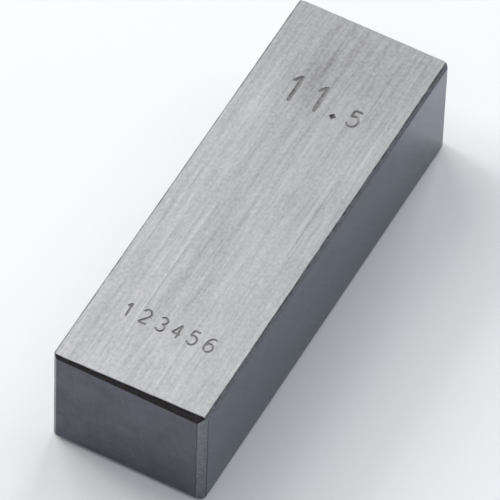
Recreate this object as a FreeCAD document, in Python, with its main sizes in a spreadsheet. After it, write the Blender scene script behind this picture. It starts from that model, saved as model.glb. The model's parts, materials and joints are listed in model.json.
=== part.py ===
import FreeCAD, Part
import os

import Sketcher

# Rectangular steel gauge block for a nominal size of 11.5 mm.
#
# One piece of hardened steel. Its two measuring faces are lapped flat and parallel, one
# nominal length apart, and look along +X and -X. The two side faces look along +Z and -Z,
# and the block rests on the lower one. The two end faces look along +Y and -Y.
# The frame's origin is at the middle of the resting face.
#
# Every edge is broken. The chamfers aren't rounded into each other: where two or three of
# them meet, their flat facets run out to a mitred corner, as a stone leaves them.

# Driving dimensions in millimetres: alias, value, what it measures.
DIMENSIONS = (
    ("nominal_length", 11.5, "between the two measuring faces, along X"),
    ("face_length", 35.0, "long side of a measuring face, along Y"),
    ("face_width", 9.0, "short side of a measuring face, along Z"),
    ("right_face_break", 0.27, "long edges of the +X measuring face, both legs"),
    ("left_face_break", 0.14, "long edges of the -X measuring face, both legs"),
    ("right_corner_on_end", 0.58, "corner edges of the +X face, leg on the end face"),
    ("right_corner_on_face", 0.50, "corner edges of the +X face, leg on the measuring face"),
    ("left_corner_on_end", 0.34, "corner edges of the -X face, leg on the end face"),
    ("left_corner_on_face", 0.34, "corner edges of the -X face, leg on the measuring face"),
    ("end_edge_break", 0.37, "the three plain end edges, both legs"),
    ("dressed_break_start", 0.22, "hand-dressed end edge, both legs where it starts, at -X"),
    ("dressed_break_finish", 0.45, "hand-dressed end edge, both legs where it ends, at +X"),
    ("cutter_overrun", 1.0, "how far a chamfer's cutting section reaches past the edge"),
)

# The edges that each chamfering pass breaks. An edge is given by the side it lies on from
# the block's centre, along the pass's own two axes, and by its two legs along them.
CORNER_EDGES = (
    ("near_right", 1, -1, "right_corner_on_end", "right_corner_on_face"),
    ("far_right", 1, 1, "right_corner_on_end", "right_corner_on_face"),
    ("near_left", -1, -1, "left_corner_on_end", "left_corner_on_face"),
    ("far_left", -1, 1, "left_corner_on_end", "left_corner_on_face"),
)
FACE_EDGES = (
    ("upper_right", 1, 1, "right_face_break", "right_face_break"),
    ("lower_right", 1, -1, "right_face_break", "right_face_break"),
    ("upper_left", -1, 1, "left_face_break", "left_face_break"),
    ("lower_left", -1, -1, "left_face_break", "left_face_break"),
)
PLAIN_END_EDGES = (
    ("lower_near", -1, -1, "end_edge_break", "end_edge_break"),
    ("lower_far", 1, -1, "end_edge_break", "end_edge_break"),
    ("upper_far", 1, 1, "end_edge_break", "end_edge_break"),
)
DRESSED_END_EDGE = ("upper_near", -1, 1, "dressed_break_start", "dressed_break_start")

# How Sketcher names a point: the geometry's number, then which point of it.
ORIGIN = (-1, 1)
START_POINT = 1
END_POINT = 2


def fill_spreadsheet(doc):
    """Writes the driving dimensions as plain numbers, each with its alias and a note."""
    sheet = doc.addObject("Spreadsheet::Sheet", "Sizes")
    for row, (alias, value, note) in enumerate(DIMENSIONS, start=1):
        sheet.set(f"A{row}", alias)
        sheet.set(f"B{row}", str(value))
        sheet.set(f"C{row}", note)
        sheet.setAlias(f"B{row}", alias)
    doc.recompute()


def sketch_on(body, role, name):
    """A new sketch lying on one of the body's own origin planes."""
    plane = next(item for item in body.Origin.OriginFeatures if item.Role == role)
    sketch = body.newObject("Sketcher::SketchObject", name)
    sketch.AttachmentSupport = [(plane, "")]
    sketch.MapMode = "FlatFace"
    return sketch


def pin(sketch, line, direction, rough, name, expression):
    """Ties a line's start to the origin by a distance along the sketch's X or Y axis.

    The sign of rough says on which side of the origin the point is drawn. A distance is
    never negative, so its two points are named in the order that keeps them there.
    """
    drawn = (line, START_POINT)
    ends = (*ORIGIN, *drawn) if rough > 0 else (*drawn, *ORIGIN)
    index = sketch.addConstraint(Sketcher.Constraint(direction, *ends, abs(rough)))
    sketch.renameConstraint(index, name)
    sketch.setExpression(f"Constraints.{name}", expression)


def draw_outline(sketch, tag, corners):
    """A closed outline of straight lines: drawn roughly, then pinned to size.

    Each corner is its rough place and its exact distances from the origin, as
    (rough x, x expression, rough y, y expression).
    """
    first = sketch.GeometryCount
    lines = range(first, first + len(corners))
    places = [FreeCAD.Vector(rough_x, rough_y, 0) for rough_x, _, rough_y, _ in corners]
    for start, end in zip(places, places[1:] + places[:1]):
        sketch.addGeometry(Part.LineSegment(start, end), False)
    for line, following in zip(lines, [*lines[1:], first]):
        joint = Sketcher.Constraint("Coincident", line, END_POINT, following, START_POINT)
        sketch.addConstraint(joint)
    for line, (rough_x, x_expression, rough_y, y_expression) in zip(lines, corners):
        pin(sketch, line, "DistanceX", rough_x, f"{tag}_x{line}", x_expression)
        pin(sketch, line, "DistanceY", rough_y, f"{tag}_y{line}", y_expression)


def draw_cutting_section(sketch, edge, across, up):
    """The triangle that breaks one edge of the block.

    across and up are the aliases of the block's full size along the sketch's two axes.
    The slope crosses each face one leg in from the edge and is carried on in a straight
    line past it, to the two outer sides, which clear the block by the cutter's overrun.
    """
    tag, side_x, side_y, leg_x, leg_y = edge
    edge_x = f"Sizes.{across} / 2"
    edge_y = f"Sizes.{up} / 2"
    outer_x = f"{edge_x} + Sizes.cutter_overrun"
    outer_y = f"{edge_y} + Sizes.cutter_overrun"
    slope = f"Sizes.{leg_y} / Sizes.{leg_x}"
    slope_x = f"{edge_x} - Sizes.{leg_x} - Sizes.cutter_overrun / ({slope})"
    slope_y = f"{edge_y} - Sizes.{leg_y} - Sizes.cutter_overrun * ({slope})"
    draw_outline(sketch, tag, [
        (2 * side_x, outer_x, 2 * side_y, outer_y),
        (side_x, slope_x, 2 * side_y, outer_y),
        (2 * side_x, outer_x, side_y, slope_y),
    ])


def pad_lapped_blank(body):
    """The square-edged blank: the measuring face's outline, one nominal length thick."""
    outline = sketch_on(body, "YZ_Plane", "measuring_face_outline")
    draw_outline(outline, "outline", [
        (side_y, "Sizes.face_length / 2", side_z, "Sizes.face_width / 2")
        for side_y, side_z in ((-1, -1), (1, -1), (1, 1), (-1, 1))
    ])
    blank = body.newObject("PartDesign::Pad", "lapped_blank")
    blank.Profile = outline
    blank.SideType = "Symmetric"
    blank.setExpression("Length", "Sizes.nominal_length")
    return blank


def break_edges(body, role, name, edges, across, up):
    """Chamfers parallel edges in one pass, along their whole length."""
    sections = sketch_on(body, role, f"{name}_sections")
    for edge in edges:
        draw_cutting_section(sections, edge, across, up)
    chamfers = body.newObject("PartDesign::Pocket", name)
    chamfers.Profile = sections
    chamfers.Type = "ThroughAll"
    chamfers.SideType = "Symmetric"
    return chamfers


def dress_end_edge(body):
    """The end edge of the marked side, broken by hand with a stone.

    Its facet widens evenly from the -X measuring face to the +X one and keeps its slope.
    The cutting section stands at the -X face, and the cut runs askew to the edge: over
    one nominal length it drifts inward by as much as the facet's legs grow.
    """
    section = sketch_on(body, "YZ_Plane", "dressed_end_edge_section")
    section.setExpression("AttachmentOffset.Base.z", "-Sizes.nominal_length / 2")
    draw_cutting_section(section, DRESSED_END_EDGE, "face_length", "face_width")
    facet = body.newObject("PartDesign::Pocket", "dressed_end_edge")
    facet.Profile = section
    facet.Type = "ThroughAll"
    facet.UseCustomVector = True
    facet.setExpression("Direction.x", "Sizes.nominal_length")
    facet.setExpression("Direction.y", "Sizes.dressed_break_finish - Sizes.dressed_break_start")
    facet.setExpression("Direction.z", "0")
    return facet


def make_gauge_block(doc):
    """The whole block, modelled about its centre and lifted to rest on the XY plane."""
    body = doc.addObject("PartDesign::Body", "gauge_block")
    body.Label = "gauge_block"
    body.setExpression("Placement.Base.z", "Sizes.face_width / 2")
    steps = [
        pad_lapped_blank(body),
        break_edges(body, "XY_Plane", "corner_chamfers", CORNER_EDGES,
                    "nominal_length", "face_length"),
        break_edges(body, "XZ_Plane", "face_edge_chamfers", FACE_EDGES,
                    "nominal_length", "face_width"),
        break_edges(body, "YZ_Plane", "end_edge_chamfers", PLAIN_END_EDGES,
                    "face_length", "face_width"),
        dress_end_edge(body),
    ]
    return body, steps


def stop_if_failed(doc, body, steps):
    """Raises if an object is in error, a shape is bad, or a chamfer takes nothing off."""
    for item in doc.Objects:
        if "Invalid" in item.State or "Error" in item.State:
            raise RuntimeError(f"{item.Name} did not recompute: {item.State}")
    for item in [body, *steps]:
        if item.Shape.isNull() or not item.Shape.isValid():
            raise RuntimeError(f"{item.Name} has no valid shape")
    for before, after in zip(steps, steps[1:]):
        if after.Shape.Volume >= before.Shape.Volume:
            raise RuntimeError(f"{after.Name} cuts nothing")
    if len(body.Shape.Solids) != 1:
        raise RuntimeError(f"{body.Label} is not one solid")


def main():
    doc = FreeCAD.newDocument("gauge_block_document")
    fill_spreadsheet(doc)
    body, steps = make_gauge_block(doc)
    doc.recompute()
    stop_if_failed(doc, body, steps)
    os.makedirs("parts", exist_ok=True)
    body.Shape.exportStep(f"parts/{body.Label}.step")
    box = body.Shape.BoundBox
    size = f"{box.XLength:.3f} x {box.YLength:.3f} x {box.ZLength:.3f} mm"
    print(f"{body.Label}: {size}, {body.Shape.Volume:.2f} mm3, {len(body.Shape.Faces)} faces")


main()
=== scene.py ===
# %% [markdown]
# # A steel gauge block
#
# A gauge block is a small brick of hardened steel that carries one exact length. Two of
# its six faces are lapped, rubbed with fine paste on a flat plate until they shine, and
# they stand 11.5 mm apart. The other four faces are only ground. Every edge is broken with
# a stone, and the size and a number are engraved on one ground side.
#
# The CAD model already has the true form. It is loaded first and stays as a fixed frame,
# so nothing here is placed by eye. Blender works in metres, and this lesson turns to
# millimetres for the bench work, because that is how such a block is made.

import json
import math
import random

import bpy
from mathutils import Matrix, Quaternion, Vector, noise

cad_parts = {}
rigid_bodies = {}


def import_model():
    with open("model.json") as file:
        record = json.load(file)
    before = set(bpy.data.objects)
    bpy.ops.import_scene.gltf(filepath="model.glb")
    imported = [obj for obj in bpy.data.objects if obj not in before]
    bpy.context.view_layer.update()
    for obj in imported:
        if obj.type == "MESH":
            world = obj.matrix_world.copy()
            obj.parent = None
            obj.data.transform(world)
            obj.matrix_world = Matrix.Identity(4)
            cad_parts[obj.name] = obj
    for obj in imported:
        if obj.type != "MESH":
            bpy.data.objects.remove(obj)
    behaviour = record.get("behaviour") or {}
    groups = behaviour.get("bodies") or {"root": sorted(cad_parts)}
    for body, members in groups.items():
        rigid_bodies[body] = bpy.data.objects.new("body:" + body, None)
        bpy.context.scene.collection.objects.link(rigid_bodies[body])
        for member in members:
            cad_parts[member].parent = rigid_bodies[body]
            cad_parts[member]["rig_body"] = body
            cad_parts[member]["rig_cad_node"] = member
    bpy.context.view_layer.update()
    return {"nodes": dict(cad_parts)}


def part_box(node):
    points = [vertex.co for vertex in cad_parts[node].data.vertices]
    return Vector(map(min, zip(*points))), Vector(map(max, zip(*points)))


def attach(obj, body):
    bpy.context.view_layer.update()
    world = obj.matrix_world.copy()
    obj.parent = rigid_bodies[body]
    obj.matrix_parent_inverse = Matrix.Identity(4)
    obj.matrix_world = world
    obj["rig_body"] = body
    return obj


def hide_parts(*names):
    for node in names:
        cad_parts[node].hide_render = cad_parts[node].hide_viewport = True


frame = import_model()

MM = 0.001
low, high = (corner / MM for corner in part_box("gauge_block"))
middle = (low + high) / 2
print("block in millimetres:", *(round(side, 2) for side in high - low))

# %% [markdown]
# ## The camera
#
# A small object seen from half a metre through a very long lens keeps its edges almost
# parallel, which is how catalogue pictures of tools are taken. The camera's place is
# worked out from two angles and a distance, so that it can be changed one thing at a time.
# Tilting it a little about its own axis is the last step, because the block then stands
# slightly askew in the picture, as it does when a camera is held by hand.

# %% Camera
CAMERA_AZIMUTH = math.radians(26.55)
CAMERA_ELEVATION = math.radians(52.46)
CAMERA_DISTANCE = 550.8 * MM
CAMERA_ROLL = math.radians(2.22)
CAMERA_AIM = (middle + Vector((-0.03, -0.35, 0))) * MM
LENS = 589.9

towards_camera = Vector((
    math.sin(CAMERA_AZIMUTH) * math.cos(CAMERA_ELEVATION),
    -math.cos(CAMERA_AZIMUTH) * math.cos(CAMERA_ELEVATION),
    math.sin(CAMERA_ELEVATION),
))
bpy.ops.object.select_all(action="DESELECT")
bpy.ops.object.camera_add(location=CAMERA_AIM + CAMERA_DISTANCE * towards_camera)
camera = bpy.context.active_object
camera.rotation_mode = "QUATERNION"
level_view = (-towards_camera).to_track_quat("-Z", "Y")
camera.rotation_quaternion = level_view @ Quaternion((0, 0, 1), CAMERA_ROLL)
camera.data.lens = LENS
camera.data.clip_start = 0.01
camera.data.clip_end = 10
bpy.context.scene.camera = camera
print("camera at", *(round(x, 3) for x in camera.location))

# %% [markdown]
# ## The floor
#
# A metal object shows little colour of its own: what is seen is the room in its faces.
# So the floor matters as much as the lamps. It is a wide pale sheet whose rim curls up,
# like paper in a small studio, so that a low camera also finds something pale behind the
# block. Its material is plain matt white paper, so the block's shadow stays on it.

# %% Floor
FLOOR_RADIUS = 1.0
RIM_WIDTH = 0.15
RIM_HEIGHT = 0.12
PAPER_COLOUR = (0.97, 0.96, 0.935, 1)
RIM_POINTS = 96
RIM_SMOOTH_BELOW = math.radians(60)

bpy.ops.object.select_all(action="DESELECT")
bpy.ops.mesh.primitive_circle_add(vertices=RIM_POINTS, radius=FLOOR_RADIUS, fill_type="NGON")
floor = bpy.context.active_object
floor.name = "paper_floor"
bpy.ops.object.mode_set(mode="EDIT")
bpy.ops.mesh.select_mode(type="EDGE")
bpy.ops.mesh.select_all(action="SELECT")
bpy.ops.mesh.extrude_edges_move(TRANSFORM_OT_translate={"value": (0, 0, RIM_HEIGHT)})
wider = 1 + RIM_WIDTH / FLOOR_RADIUS
bpy.ops.transform.resize(value=(wider, wider, 1))
bpy.ops.object.mode_set(mode="OBJECT")
bpy.ops.object.shade_smooth_by_angle(angle=RIM_SMOOTH_BELOW)
print("floor", round(2 * FLOOR_RADIUS, 2), "m across")


# %% Paper
def add_node(finish, kind, inputs=None, **settings):
    """Adds a node. inputs maps a socket's name or number to a value or another socket."""
    made = finish.node_tree.nodes.new(kind)
    for name, value in settings.items():
        setattr(made, name, value)
    for name, value in (inputs or {}).items():
        if isinstance(value, bpy.types.NodeSocket):
            finish.node_tree.links.new(value, made.inputs[name])
        else:
            made.inputs[name].default_value = value
    return made


def new_finish(name):
    """A new material, and the Principled shader that it starts with."""
    finish = bpy.data.materials.new(name)
    finish.use_nodes = True
    return finish, finish.node_tree.nodes["Principled BSDF"]


paper, paper_shader = new_finish("pale_paper")
paper_shader.inputs["Base Color"].default_value = PAPER_COLOUR
paper_shader.inputs["Roughness"].default_value = 1
paper_shader.inputs["Specular IOR Level"].default_value = 0
floor.data.materials.append(paper)

# %% [markdown]
# ## The light
#
# Polished metal is lit by what it mirrors, so each lamp here has one face to serve. A
# bright panel low behind the block and another at its left light the paper, and throw the
# block's shadow to the front and right. There the two upright faces mirror it, and turn
# slate dark. A weaker panel hangs high behind, where the marked side mirrors it and turns
# pale, and one more hangs at the right. The room itself is an even cool grey, bright
# enough that no face turns black when the block is seen from another side. The paper is a
# touch warm, which keeps it white under that cool room.
#
# A lamp is given by where it hangs and how bright its sheet looks. Blender wants watts,
# which follow from that brightness and the sheet's area.

# %% Lamps and room
PANEL_DISTANCE = 0.9
PANEL_SIDE = 0.45
ROOM_BRIGHTNESS = 0.30
ROOM_TINT = (0.90, 1.0, 1.15, 1)
# Each panel: degrees to the left of straight behind, degrees above the floor, brightness.
PANELS = {
    "back_panel": (0, 32, 5.0),
    "left_panel": (90, 32, 6.6),
    "upper_panel": (60, 52, 3.3),
    "right_panel": (300, 52, 1.0),
}


def add_softbox(name, bearing, height, brightness):
    """A square lamp that faces the block."""
    bearing, height = math.radians(bearing), math.radians(height)
    towards = Vector((
        -math.sin(bearing) * math.cos(height),
        math.cos(bearing) * math.cos(height),
        math.sin(height),
    ))
    bpy.ops.object.light_add(type="AREA", location=PANEL_DISTANCE * towards)
    lamp = bpy.context.active_object
    lamp.name = name
    lamp.rotation_mode = "QUATERNION"
    lamp.rotation_quaternion = towards.to_track_quat("Z", "Y")
    lamp.data.shape = "SQUARE"
    lamp.data.size = PANEL_SIDE
    lamp.data.energy = brightness * math.pi * PANEL_SIDE ** 2
    return lamp


for panel, place in PANELS.items():
    print(panel, round(add_softbox(panel, *place).data.energy, 2), "W")
room = bpy.data.worlds.new("cool_grey_room")
room.use_nodes = True
backdrop = room.node_tree.nodes["Background"]
backdrop.inputs["Color"].default_value = ROOM_TINT
backdrop.inputs["Strength"].default_value = ROOM_BRIGHTNESS
bpy.context.scene.world = room
bpy.context.scene.view_settings.view_transform = "Standard"
print("room brightness", ROOM_BRIGHTNESS)

# %% [markdown]
# ## The steel
#
# The whole block is one steel, but each face was worked another way, and the finish is
# what tells them apart. A material is therefore made for each kind of work: the ground
# sides, the lapped faces, the ground ends, the stoned edges, and the rough dark bottom of
# the engraving.
#
# Their patterns are noise, stretched along the way that the wheel or the stone ran. The
# noise reads Object coordinates, which are millimetres on the block once they are divided
# by a size in metres, so a scratch keeps its width whatever the face. A pattern is mixed
# from several grains of different size: one grain alone always looks made by a computer.

# %% Grain, and how grains are weighed together
MIDDLE_OF_NOISE = 0.5


def grain(finish, size, turn=0.0, axis=0, detail=3.0, roughness=0.55, shift=0.0):
    """Noise whose grains have this size along X, Y and Z in millimetres.

    turn tips the grains, in degrees about one axis. shift moves to another part of the
    noise, so that two grains of one size don't repeat each other.
    """
    tree = finish.node_tree
    place = tree.nodes.get("place") or add_node(finish, "ShaderNodeTexCoord", name="place")
    rotation = [0.0, 0.0, 0.0]
    rotation[axis] = math.radians(turn)
    stretched = add_node(finish, "ShaderNodeMapping", {
        "Vector": place.outputs["Object"], "Location": (shift, shift, shift),
        "Rotation": rotation, "Scale": [side * MM for side in size]}, vector_type="TEXTURE")
    noise_node = add_node(finish, "ShaderNodeTexNoise", {
        "Vector": stretched.outputs[0], "Scale": 1.0, "Detail": detail, "Roughness": roughness})
    return noise_node.outputs["Fac"]


def calculate(finish, operation, *values, clamp=False):
    """One step of arithmetic between numbers and sockets."""
    return add_node(finish, "ShaderNodeMath", dict(enumerate(values)),
                    operation=operation, use_clamp=clamp).outputs[0]


def weigh(finish, *parts):
    """Adds grains up about zero. Each part is a noise socket and its weight."""
    total = 0.0
    for socket, weight in parts:
        centred = calculate(finish, "SUBTRACT", socket, MIDDLE_OF_NOISE)
        total = calculate(finish, "MULTIPLY_ADD", centred, weight, total)
    return total


def between(finish, share, dark, light):
    """A colour from dark to light, as share goes from 0 to 1."""
    mixed = add_node(finish, "ShaderNodeMix", {0: share, 6: (*dark, 1), 7: (*light, 1)},
                     data_type="RGBA", clamp_factor=True)
    return mixed.outputs[2]


def shade(finish, grains, dark, light, roughness=None, bump=None):
    """Joins a pattern about zero to a steel's shader: its colour, roughness and height."""
    shader = finish.node_tree.nodes["Principled BSDF"]
    shader.inputs["Metallic"].default_value = 1
    share = calculate(finish, "ADD", grains, 0.5, clamp=True)
    finish.node_tree.links.new(between(finish, share, dark, light), shader.inputs["Base Color"])
    if roughness:
        low_end, high_end = roughness
        spread = calculate(finish, "MULTIPLY_ADD", share, high_end - low_end, low_end)
        finish.node_tree.links.new(spread, shader.inputs["Roughness"])
    if bump:
        height, depth = bump
        raised = add_node(finish, "ShaderNodeBump", {
            "Height": height, "Strength": 1.0, "Distance": depth * MM})
        finish.node_tree.links.new(raised.outputs[0], shader.inputs["Normal"])
    return shader


print("a noise wavers about", MIDDLE_OF_NOISE)

# %% [markdown]
# ### The ground sides
#
# The wheel ran along the block, so the marked side is full of fine lengthwise lines, a
# tenth of a millimetre wide and a few millimetres long. Between them the steel is
# mottled, and wide faint bands show where the wheel was dressed. A handful of longer
# scratches came later, in use. They are drawn as soft bars on the same coordinates, each
# with its own place, length and depth of tone. One more soft bar, as wide as the block,
# is painted shade that darkens the far end of the marked side.

# %% Scratches, and painted shade
# Each scratch: where it lies across the block, where it starts and ends along it, its
# width, all in millimetres, and how much lighter or darker it is. The last ones are wide
# enough to be patches, and the very last, as wide as the block, is painted shade that
# darkens the far end of the marked side.
SIDE_SCRATCHES_AND_PAINTED_SHADE = (
    (-2.37, -19.0, 3.5, 0.18, 0.15),
    (3.92, -4.0, 5.8, 0.16, -0.13),
    (-4.50, -1.3, 1.6, 0.17, -0.14),
    (2.10, -1.5, 2.2, 0.24, -0.10),
    (0.00, 2.0, 5.8, 0.26, 0.09),
    (-4.95, -12.5, -3.0, 0.16, 0.10),
    (4.60, 4.0, 14.5, 0.16, 0.10),
    (-0.35, -9.6, -2.4, 0.16, 0.08),
    (2.75, 3.0, 9.5, 0.15, 0.09),
    (1.45, -16.9, -13.0, 0.15, 0.08),
    (-1.58, 7.5, 16.0, 1.10, -0.06),
    # Painted shade, not a scratch: darkens the far end of the marked side.
    (0.00, 6.0, 29.0, 18.0, -0.12),
)


CORE_WIDTH = 0.4
CORE_LENGTH = 0.4


def scratches_and_painted_shade(finish, marks):
    """Each scratch and the painted shade as one pattern about zero.

    A scratch has its full tone in a core, a share of its width and of its length, and
    fades out from there.
    """
    place = finish.node_tree.nodes["place"].outputs["Object"]
    apart = add_node(finish, "ShaderNodeSeparateXYZ", {"Vector": place})
    total = 0.0
    for across, start, end, width, tone in marks:
        off_line = calculate(finish, "SUBTRACT", apart.outputs["X"], across * MM)
        off_line = calculate(finish, "ABSOLUTE", off_line)
        beside = add_node(finish, "ShaderNodeMapRange", {
            "Value": off_line, "From Min": width / 2 * MM,
            "From Max": CORE_WIDTH * width / 2 * MM,
            "To Min": 0.0, "To Max": tone}, interpolation_type="SMOOTHSTEP")
        off_middle = calculate(finish, "SUBTRACT", apart.outputs["Y"], (start + end) / 2 * MM)
        off_middle = calculate(finish, "ABSOLUTE", off_middle)
        half = (end - start) / 2 * MM
        along = add_node(finish, "ShaderNodeMapRange", {
            "Value": off_middle, "From Min": half, "From Max": CORE_LENGTH * half,
            "To Min": 0.0, "To Max": 1.0}, interpolation_type="SMOOTHSTEP")
        total = calculate(finish, "MULTIPLY_ADD", beside.outputs[0], along.outputs[0], total)
    return total


# %% Ground sides
SIDE_BUMP = 0.002
BANDS_LEFT = 2.0
BANDS_RIGHT = 0.1

ground_side, _ = new_finish("ground_side")
lines = grain(ground_side, (0.27, 5.5, 0.27), detail=3, roughness=0.6)
hairlines = grain(ground_side, (0.17, 3.0, 0.17), detail=1, shift=0.2)
speckle = grain(ground_side, (0.21, 0.27, 0.21), detail=1, shift=0.3)
bands = grain(ground_side, (2.0, 40.0, 2.0), detail=3, shift=0.7)
apart = add_node(ground_side, "ShaderNodeSeparateXYZ", {
    "Vector": ground_side.node_tree.nodes["place"].outputs["Object"]})
worn_wheel = add_node(ground_side, "ShaderNodeMapRange", {
    "Value": apart.outputs["X"], "From Min": low.x * MM, "From Max": high.x * MM,
    "To Min": BANDS_LEFT, "To Max": BANDS_RIGHT})
side_bands = calculate(ground_side, "MULTIPLY", weigh(ground_side, (bands, 0.22)),
                       worn_wheel.outputs[0])
clouds = grain(ground_side, (2.5, 4.0, 2.5), detail=2, shift=0.5)
side_pattern = weigh(
    ground_side, (lines, 0.42), (hairlines, 0.28), (speckle, 0.36), (clouds, 0.20))
side_pattern = calculate(ground_side, "ADD", side_pattern, side_bands)
side_pattern = calculate(ground_side, "ADD", side_pattern,
                         scratches_and_painted_shade(ground_side, SIDE_SCRATCHES_AND_PAINTED_SHADE))
shade(ground_side, side_pattern, (0.18, 0.176, 0.174), (0.75, 0.737, 0.730),
      roughness=(0.35, 0.28), bump=(lines, SIDE_BUMP))
print("ground side has", len(SIDE_SCRATCHES_AND_PAINTED_SHADE), "scratches_and_painted_shade")

# %% [markdown]
# ### The lapped faces
#
# Lapping leaves no direction, only a smooth slate gloss with faint marks where the block
# was slid onto its neighbours: a gauge block is used by wringing it to others, which
# turns it as it slides, so the marks cross each other at a slant. At a flat angle plain
# metal would turn brighter than this steel does, and the shader's specular tint holds
# that back. The slate colour is partly the lapped steel's own and partly painted shade:
# it is darker than the steel elsewhere, for these faces mirror the paper in the block's
# shadow.

# %% Lapped faces
lapped_face_with_painted_shade, lapped_shader = new_finish("lapped_face_with_painted_shade")
haze = grain(lapped_face_with_painted_shade, (1.6, 1.6, 1.6), detail=3)
film = grain(lapped_face_with_painted_shade, (0.30, 0.30, 0.30), detail=2, shift=0.4)
wrung = grain(lapped_face_with_painted_shade, (0.1, 0.12, 4.5), turn=38, detail=2, shift=0.2)
wrung_back = grain(lapped_face_with_painted_shade, (0.1, 0.12, 3.5), turn=-55, detail=2, shift=0.6)
lapped_pattern = weigh(
    lapped_face_with_painted_shade, (haze, 0.7), (film, 0.6), (wrung, 0.75), (wrung_back, 0.5))
# Dark slate colours: partly the lapped steel's own, partly painted shade.
shade(lapped_face_with_painted_shade, lapped_pattern, (0.205, 0.225, 0.267), (0.295, 0.320, 0.373),
      roughness=(0.22, 0.14), bump=(wrung, 0.0002))
lapped_shader.inputs["Specular Tint"].default_value = (0.7, 0.7, 0.7, 1)
print("lapped faces done")

# %% [markdown]
# ### The ground ends
#
# The ends are never measured from, so they are ground once and left. Their lines run
# across the block's length, and patches of them stay dull. The colour is much darker than
# the marked side's, though it is the same ground steel: that is painted shade, for these
# faces mirror the paper in the block's shadow. It is also darker towards the left edge.

# %% Ground ends
# Up to where across the block the end's colour is darkened, and by how much at its left edge.
DARKER_LEFT_UNTIL = -0.5
LEFT_DARKENING = -0.48

ground_end_with_painted_shade, _ = new_finish("ground_end_with_painted_shade")
cross_lines = grain(ground_end_with_painted_shade, (3.0, 0.14, 0.14), turn=8, axis=1, detail=2)
upright_lines = grain(ground_end_with_painted_shade, (0.16, 0.16, 1.8), turn=-14, axis=1, detail=2, shift=0.5)
patches = grain(ground_end_with_painted_shade, (1.3, 1.3, 1.0), detail=3, shift=0.1)
end_pattern = weigh(ground_end_with_painted_shade, (cross_lines, 0.5), (upright_lines, 0.5), (patches, 0.9))
apart = add_node(ground_end_with_painted_shade, "ShaderNodeSeparateXYZ", {
    "Vector": ground_end_with_painted_shade.node_tree.nodes["place"].outputs["Object"]})
darker_left = add_node(ground_end_with_painted_shade, "ShaderNodeMapRange", {
    "Value": apart.outputs["X"], "From Min": low.x * MM, "From Max": DARKER_LEFT_UNTIL * MM,
    "To Min": LEFT_DARKENING, "To Max": 0.0})
end_pattern = calculate(ground_end_with_painted_shade, "ADD", end_pattern, darker_left.outputs[0])
# Painted shade: these colours are far darker than the same ground steel on the marked side.
shade(ground_end_with_painted_shade, end_pattern, (0.088, 0.090, 0.110), (0.163, 0.166, 0.199),
      roughness=(0.265, 0.225), bump=(upright_lines, 0.0003))
print("ground ends done")

# %% [markdown]
# ### The broken edges and the engraving
#
# A stone drawn along an edge by hand leaves coarse uneven steel, so the chamfers get the
# roughest grain, in spots as well as lines. Where a chamfer meets the marked side, the
# stone skipped and left a dark ragged border. The corner edges were stoned aslant. Their
# colour is darker, and that of the hand-dressed end edge darker still: both are painted
# shade, not a darker steel. The engraving tool tore the surface, and ink and dirt stay in
# the grooves, which makes them matt and brown. In the point between the figures the dirt
# is packed so thick that little metal shows.

# %% Broken edges
RAGGED_TOP = 8.99
RAGGED_FOOT = 8.84
SKIPS_START = 0.42
SKIPS_FULL = 0.56
STROKE_WEIGHT = 0.9


def stoned(name, dark, light, ragged=0.0, turn=0.0):
    """A chamfer's finish. ragged darkens it in spots along the marked side."""
    finish, _ = new_finish(name)
    spots = grain(finish, (0.18, 0.18, 0.18), detail=2)
    rubs = grain(finish, (0.5, 0.5, 0.5), detail=2, shift=0.8)
    strokes = grain(finish, (0.12, 0.12, 2.0), turn=turn, detail=1, shift=0.4)
    pattern = weigh(finish, (spots, 0.9), (rubs, 0.5), (strokes, STROKE_WEIGHT if turn else 0.0))
    if ragged:
        apart = add_node(finish, "ShaderNodeSeparateXYZ", {
            "Vector": finish.node_tree.nodes["place"].outputs["Object"]})
        border = add_node(finish, "ShaderNodeMapRange", {
            "Value": apart.outputs["Z"], "From Min": RAGGED_FOOT * MM,
            "From Max": RAGGED_TOP * MM})
        skips = grain(finish, (0.40, 0.60, 0.40), detail=2, shift=0.9)
        skips = add_node(finish, "ShaderNodeMapRange", {
            "Value": skips, "From Min": SKIPS_START, "From Max": SKIPS_FULL,
            "To Min": 0.0, "To Max": -ragged})
        pattern = calculate(finish, "MULTIPLY_ADD", border.outputs[0], skips.outputs[0], pattern)
    shade(finish, pattern, dark, light, roughness=(0.40, 0.28), bump=(spots, 0.003))
    return finish


stoned_break = stoned("stoned_break", (0.15, 0.146, 0.150), (0.43, 0.424, 0.445), ragged=0.6)
# Painted shade: this chamfer's colour is darkened far below the stoned steel's.
near_break_with_painted_shade = stoned("near_break_with_painted_shade", (0.040, 0.030, 0.028), (0.135, 0.110, 0.108), ragged=0.7)
# Painted shade: the corner chamfers' colour is darkened below the stoned steel's.
corner_break_with_painted_shade = stoned("corner_break_with_painted_shade", (0.105, 0.110, 0.118), (0.240, 0.248, 0.270), turn=-48)
corner_line = stoned("corner_line", (0.045, 0.045, 0.052), (0.12, 0.122, 0.14))
# A painted highlight: the rounded arris is given a pale colour.
arris_with_painted_highlight = stoned("arris_with_painted_highlight", (0.45, 0.44, 0.43), (0.80, 0.78, 0.76))
print("broken edges done")

# %% Engraved groove
engraved_groove, groove_shader = new_finish("engraved_groove")
torn = grain(engraved_groove, (0.09, 0.5, 0.09), detail=2)
dirt = grain(engraved_groove, (0.3, 0.3, 0.3), detail=2, shift=0.5)
shade(engraved_groove, weigh(engraved_groove, (torn, 1.2), (dirt, 1.0)),
      (0.09, 0.082, 0.078), (0.32, 0.30, 0.29), roughness=(0.60, 0.42), bump=(torn, 0.004))
groove_shader.inputs["Metallic"].default_value = 0.7
print("groove done")

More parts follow.
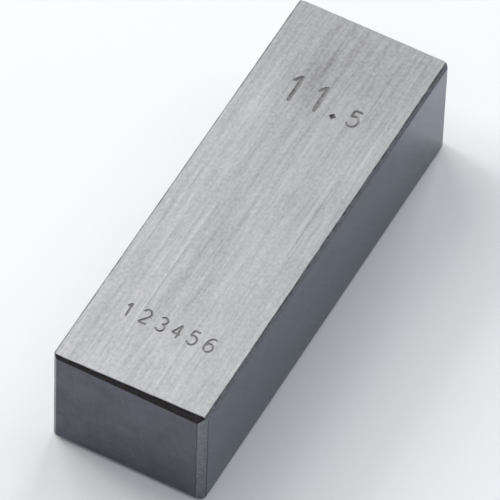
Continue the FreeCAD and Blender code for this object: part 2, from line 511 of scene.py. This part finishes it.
# %% Packed dirt
packed_dirt, dirt_shader = new_finish("packed_dirt")
crumbs = grain(packed_dirt, (0.12, 0.12, 0.12), detail=2)
shade(packed_dirt, weigh(packed_dirt, (crumbs, 1.5)),
      (0.050, 0.044, 0.041), (0.22, 0.20, 0.19), roughness=(0.75, 0.60), bump=(crumbs, 0.003))
dirt_shader.inputs["Metallic"].default_value = 0.3
print("finishes:", len(bpy.data.materials))

# %% [markdown]
# ## The block
#
# The CAD node stays as it is, hidden, because the motion checks use it. Its mesh is loose
# triangles, so a copy is merged into one skin, and the triangles of each flat facet are
# dissolved into one face. From there it can be worked like a mesh made by hand. The copy
# is enlarged to millimetres for the bench work and goes back to metres at the end.


# %% A copy to work on
def take_up(piece):
    """Makes piece the only selected object, ready for an operator."""
    bpy.ops.object.select_all(action="DESELECT")
    piece.select_set(True)
    bpy.context.view_layer.objects.active = piece


SAME_POINT = 0.001
SAME_PLANE = math.radians(1)

take_up(frame["nodes"]["gauge_block"])
bpy.ops.object.duplicate()
block = bpy.context.active_object
block.name = "finished_block"
bpy.ops.object.parent_clear(type="CLEAR_KEEP_TRANSFORM")
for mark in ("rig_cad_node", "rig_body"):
    del block[mark]
bpy.ops.mesh.customdata_custom_splitnormals_clear()
bpy.ops.transform.resize(value=(1 / MM, 1 / MM, 1 / MM))
bpy.ops.object.transform_apply(location=False, rotation=False, scale=True)
bpy.ops.object.mode_set(mode="EDIT")
bpy.ops.mesh.select_mode(type="FACE")
bpy.ops.mesh.select_all(action="SELECT")
bpy.ops.mesh.remove_doubles(threshold=SAME_POINT)
bpy.ops.mesh.dissolve_limited(angle_limit=SAME_PLANE)
bpy.ops.object.mode_set(mode="OBJECT")
print("the copy has", len(block.data.polygons), "flat facets")

# %% Give each facet its finish
block.data.materials.clear()
for finish in (ground_side, lapped_face_with_painted_shade, ground_end_with_painted_shade, stoned_break, near_break_with_painted_shade,
               corner_break_with_painted_shade, arris_with_painted_highlight, corner_line):
    block.data.materials.append(finish)
SIDE, LAPPED, END, PLAIN_BREAK, NEAR_TOP_BREAK, CORNER_BREAK, ARRIS, CORNER_LINE = range(8)


STRAIGHT = 0.999
LEVEL = 0.05
SLANTED = 0.5


def finish_of(normal):
    """Which finish a facet gets, from the way it looks."""
    x, y, z = (abs(part) for part in normal)
    if max(x, y, z) > STRAIGHT:
        return LAPPED if x > STRAIGHT else END if y > STRAIGHT else SIDE
    if z < LEVEL:
        return CORNER_BREAK
    near_and_up = normal.y < -SLANTED and normal.z > SLANTED
    return NEAR_TOP_BREAK if near_and_up else PLAIN_BREAK


for facet in block.data.polygons:
    facet.material_index = finish_of(facet.normal)
print("chamfers:", sum(facet.material_index > END for facet in block.data.polygons))

# %% [markdown]
# ### Stoned chamfers
#
# A chamfer made with a hand stone isn't a perfect strip: its borders wander by a hundredth
# of a millimetre or two. To make room for that, the whole skin is cut into a grid with
# bisect, which also keeps its faces well shaped for the cutting that comes later. The
# points on the borders are then moved a little, always within the flat face that they lie
# on, so the flat faces stay flat and nothing leaves the block's box.

# %% Cut the skin into a grid
GRID_STEP = 0.5
GRID_MARGIN = 0.8

block_corners = {tuple(round(x, 3) for x in point.co) for point in block.data.vertices}
take_up(block)
bpy.ops.object.mode_set(mode="EDIT")
for axis in range(3):
    across = [0.0, 0.0, 0.0]
    across[axis] = 1.0
    room = high[axis] - low[axis] - 2 * GRID_MARGIN
    cuts = round(room / GRID_STEP)
    for cut in range(cuts + 1):
        at = list(middle)
        at[axis] = low[axis] + GRID_MARGIN + room * cut / cuts
        bpy.ops.mesh.select_all(action="SELECT")
        bpy.ops.mesh.bisect(plane_co=at, plane_no=across)
bpy.ops.object.mode_set(mode="OBJECT")
print("the grid has", len(block.data.polygons), "faces")

# %% Let the borders wander
STONE_WANDER = 0.022
WANDER_LENGTH = 1.5
TREMOR_SHARE = 0.6
TREMORS_PER_MM = 2.3

border = {corner for facet in block.data.polygons if facet.material_index > END
          for corner in facet.vertices}
for corner in border:
    point = block.data.vertices[corner]
    if tuple(round(x, 3) for x in point.co) in block_corners:
        continue
    reach = [min(point.co[axis] - low[axis], high[axis] - point.co[axis]) for axis in range(3)]
    reach[reach.index(min(reach))] = math.inf
    sideways = reach.index(min(reach))
    drift = noise.noise(point.co / WANDER_LENGTH)
    drift += TREMOR_SHARE * noise.noise(point.co * TREMORS_PER_MM)
    point.co[sideways] += STONE_WANDER * drift
print("borders wander by up to", STONE_WANDER, "mm")

# %% [markdown]
# ### The borders of the chamfers
#
# Most borders between a chamfer and a flat face are crisp, because the stone left them
# so, and a burr or a dent there would spoil the length. Two kinds aren't. The hand-dressed
# end edge is the one that a thumb rubs as the block is pushed out of its case, and its
# upper border is worn round. The bevel operator gives it a radius of a few hundredths of
# a millimetre, too small to measure, but it catches the light. Its pale colour is a
# painted highlight. The corner edges show a thin dark line on each side, where the stone
# turned. It is a narrow flat bevel.


# %% Round the arrises
def select_meetings(piece, firsts, seconds):
    """Selects each edge where one of the first finishes meets one of the second."""
    take_up(piece)
    bpy.ops.object.mode_set(mode="EDIT")
    bpy.ops.mesh.select_mode(type="EDGE")
    bpy.ops.mesh.select_all(action="DESELECT")
    bpy.ops.object.mode_set(mode="OBJECT")
    beside = {}
    for facet in piece.data.polygons:
        for key in facet.edge_keys:
            beside.setdefault(key, set()).add(facet.material_index)
    for edge in piece.data.edges:
        here = beside[edge.key]
        edge.select = len(here) > 1 and bool(here & firsts) and bool(here & seconds)
    bpy.ops.object.mode_set(mode="EDIT")


def bevel_between(piece, firsts, seconds, width, segments, finish_number):
    """Bevels where the finishes meet, and gives the new faces a finish of their own."""
    select_meetings(piece, firsts, seconds)
    bpy.ops.mesh.bevel(offset=width, segments=segments, clamp_overlap=False,
                       material=finish_number)
    bpy.ops.object.mode_set(mode="OBJECT")


ARRIS_WIDTH = 0.05
LINE_WIDTH = 0.04
bevel_between(block, {SIDE}, {NEAR_TOP_BREAK}, ARRIS_WIDTH, 3, ARRIS)
bevel_between(block, {CORNER_BREAK}, {END, LAPPED}, LINE_WIDTH, 1, CORNER_LINE)
print("after rounding:", len(block.data.polygons), "faces")

# %% [markdown]
# ## The engraving
#
# The size is engraved large at the far end and a row of plain numerals small at the near
# end. On the real block a guided cutter drew each numeral with single strokes, so they
# are made the same way: a stroke is a line, given a round section to make a rod, and the
# rod is cut out of the block with a boolean. Only the rod's lowest part reaches the
# steel, which leaves a shallow groove with a round bottom. The rod is a little thinner at
# its ends, where the cutter came down and lifted off.
#
# A numeral is drawn in a cell one unit tall, with its foot at 0 and its middle at 0, and
# then takes its height and place in millimetres.

# %% The cutter's alphabet
HALF_WIDTH = 0.26


def arc(centre, radii, start, end, steps=12):
    """Points on part of an ellipse, from one angle to another, in degrees."""
    turns = (math.radians(start + (end - start) * step / steps) for step in range(steps + 1))
    return [(centre[0] + radii[0] * math.cos(turn), centre[1] + radii[1] * math.sin(turn))
            for turn in turns]


NUMERALS = {
    "1": [[(-0.19, 0.72), (-0.02, 0.97)], [(0, 1), (0, 0)]],
    "2": [arc((0, 0.72), (0.25, 0.28), 165, -38) + [(-HALF_WIDTH, 0)],
          [(-HALF_WIDTH, 0), (HALF_WIDTH, 0)]],
    "3": [arc((0, 0.76), (0.23, 0.24), 150, -90), arc((0, 0.26), (0.26, 0.26), 90, -150)],
    "4": [[(0.11, 1), (0.11, 0)], [(0.11, 1), (-HALF_WIDTH, 0.3)],
          [(-HALF_WIDTH, 0.3), (HALF_WIDTH, 0.3)]],
    "5": [[(0.22, 1), (-0.18, 1)], [(-0.18, 1), (-0.22, 0.57)],
          arc((-0.02, 0.33), (0.28, 0.33), 135, -150, 16)],
    "6": [arc((0, 0.3), (HALF_WIDTH, 0.3), 90, 450, 20),
          arc((0.07, 0.36), (0.33, 0.64), 180, 60)],
}
print("numerals:", *NUMERALS)

# %% Cut away, and lift off
LIFT_LENGTH = 0.2
LONGEST_LIFT = 0.4


def cut_away(piece, cutter):
    """Takes cutter out of piece, and hands its finish on to the new faces."""
    take_up(piece)
    carve = piece.modifiers.new("carve", "BOOLEAN")
    carve.operation = "DIFFERENCE"
    carve.solver = "EXACT"
    carve.material_mode = "TRANSFER"
    carve.object = cutter
    bpy.ops.object.modifier_apply(modifier="carve")
    bpy.data.objects.remove(cutter)


def with_lifts(points, thinner):
    """Adds a knot near each end of a stroke. Every knot comes with its thickness."""
    first, last = Vector(points[0]), Vector(points[-1])
    second, before_last = Vector(points[1]), Vector(points[-2])
    down_share = min(LONGEST_LIFT, LIFT_LENGTH / (second - first).length)
    up_share = min(LONGEST_LIFT, LIFT_LENGTH / (last - before_last).length)
    down = first.lerp(second, down_share)
    up = last.lerp(before_last, up_share)
    knots = [down, *(Vector(point) for point in points[1:-1]), up]
    return [(first, thinner), *((knot, 1) for knot in knots), (last, thinner)]


print("the cutter lifts over", LIFT_LENGTH, "mm")

# %% Cut one stroke
GROOVE_SIDES = 10


def cut_stroke(piece, points, width, depth, thinner):
    """Cuts a groove along points, which lie on the marked side, in millimetres.

    thinner is the rod's thickness at its ends, as a share of its thickness elsewhere.
    """
    radius = (width ** 2 / 4 + depth ** 2) / (2 * depth)
    line = bpy.data.curves.new("stroke", "CURVE")
    line.dimensions = "3D"
    line.bevel_depth = radius
    line.bevel_resolution = GROOVE_SIDES
    line.use_fill_caps = True
    closed = (Vector(points[0]) - Vector(points[-1])).length < SAME_POINT
    knots = [(Vector(point), 1) for point in points[:-1]]
    if not closed:
        knots = with_lifts(points, thinner)
    path = line.splines.new("POLY")
    path.use_cyclic_u = closed
    path.points.add(len(knots) - 1)
    for spot, (knot, thickness) in zip(path.points, knots):
        spot.co = (knot.x, knot.y, high.z + radius - depth, 1)
        spot.radius = thickness
    rod = bpy.data.objects.new("stroke", line)
    bpy.context.collection.objects.link(rod)
    take_up(rod)
    bpy.ops.object.convert(target="MESH")
    rod.data.materials.append(engraved_groove)
    cut_away(piece, rod)


print("a rod has", GROOVE_SIDES, "steps round each half")

# %% [markdown]
# ### Writing a line of numerals
#
# The same function writes both lines. The large figures have a wider groove. The point
# between them isn't a stroke but a diamond, pressed by the corner of a square cutter. No
# two numerals stand quite alike, so each is turned and shifted a little by a random
# generator with a fixed seed, which gives the same block at every run. The booleans leave
# a few edges with next to no length, and those are dissolved at the end.

# %% Write the two lines
SIZE_MARK = (("1", -2.33, 8.96, 2.42), ("1", -0.34, 8.96, 2.42), ("5", 2.38, 9.06, 1.40))
SIZE_GROOVE = {"1": (0.27, 0.055, 0.86), "5": (0.20, 0.045, 0.95)}
POINT_PLACE = (0.98, 9.27)
POINT_SIZE = 0.56
POINT_DEPTH = 0.16
LEAST_LENGTH = 0.0001
ROW = "123456"
ROW_START = -3.06
ROW_PITCH = 1.21
ROW_FOOT = -12.30
ROW_HEIGHT = 1.17
ROW_GROOVE = (0.17, 0.04, 0.95)
UNSTEADY_TURN = math.radians(1.6)
UNSTEADY_SHIFT = 0.025
HAND_SEED = 35

hand = random.Random(HAND_SEED)


def write_numeral(piece, numeral, across, foot, height, groove):
    """Engraves one numeral: across is its middle, foot its lower end."""
    turn = hand.uniform(-UNSTEADY_TURN, UNSTEADY_TURN)
    start = Vector((across + hand.uniform(-UNSTEADY_SHIFT, UNSTEADY_SHIFT),
                    foot + hand.uniform(-UNSTEADY_SHIFT, UNSTEADY_SHIFT)))
    for stroke in NUMERALS[numeral]:
        upright = (height * Vector(point) for point in stroke)
        placed = [start + Vector((x * math.cos(turn) - y * math.sin(turn),
                                  x * math.sin(turn) + y * math.cos(turn)))
                  for x, y in upright]
        cut_stroke(piece, placed, *groove)


for numeral, across, foot, height in SIZE_MARK:
    write_numeral(block, numeral, across, foot, height, SIZE_GROOVE[numeral])
for number, numeral in enumerate(ROW):
    write_numeral(block, numeral, ROW_START + number * ROW_PITCH, ROW_FOOT, ROW_HEIGHT,
                  ROW_GROOVE)
print("after the strokes:", len(block.data.polygons), "faces")

# %% Press the point
bpy.ops.object.select_all(action="DESELECT")
bpy.ops.mesh.primitive_cone_add(
    vertices=4, radius1=0, radius2=POINT_SIZE, depth=2 * POINT_DEPTH,
    location=(*POINT_PLACE, high.z))
diamond = bpy.context.active_object
diamond.data.materials.append(packed_dirt)
cut_away(block, diamond)
take_up(block)
bpy.ops.object.mode_set(mode="EDIT")
bpy.ops.mesh.select_all(action="SELECT")
bpy.ops.mesh.dissolve_degenerate(threshold=LEAST_LENGTH)
bpy.ops.object.mode_set(mode="OBJECT")
print("after the point:", len(block.data.polygons), "faces")

# %% [markdown]
# ## Back to metres
#
# The finished block goes back to its real size and is shaded smooth where its faces meet
# at a small angle, which makes the grooves and the rounded arrises look round. The flat
# faces have to stay flat in the light right up to their borders, so each border between
# a flat face and another finish is marked sharp first.

# %% Finish the mesh
SMOOTH_BELOW = math.radians(35)
FLAT_FACES = {SIDE, LAPPED, END}

select_meetings(block, FLAT_FACES, set(range(len(block.data.materials))))
bpy.ops.mesh.mark_sharp()
bpy.ops.object.mode_set(mode="OBJECT")
bpy.ops.transform.resize(value=(MM, MM, MM))
bpy.ops.object.transform_apply(location=False, rotation=False, scale=True)
bpy.ops.object.shade_smooth_by_angle(angle=SMOOTH_BELOW, keep_sharp_edges=True)
print("mesh:", len(block.data.vertices), "points,", len(block.data.polygons), "faces")

# %% Hand it to the frame
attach(block, "root")
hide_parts("gauge_block")
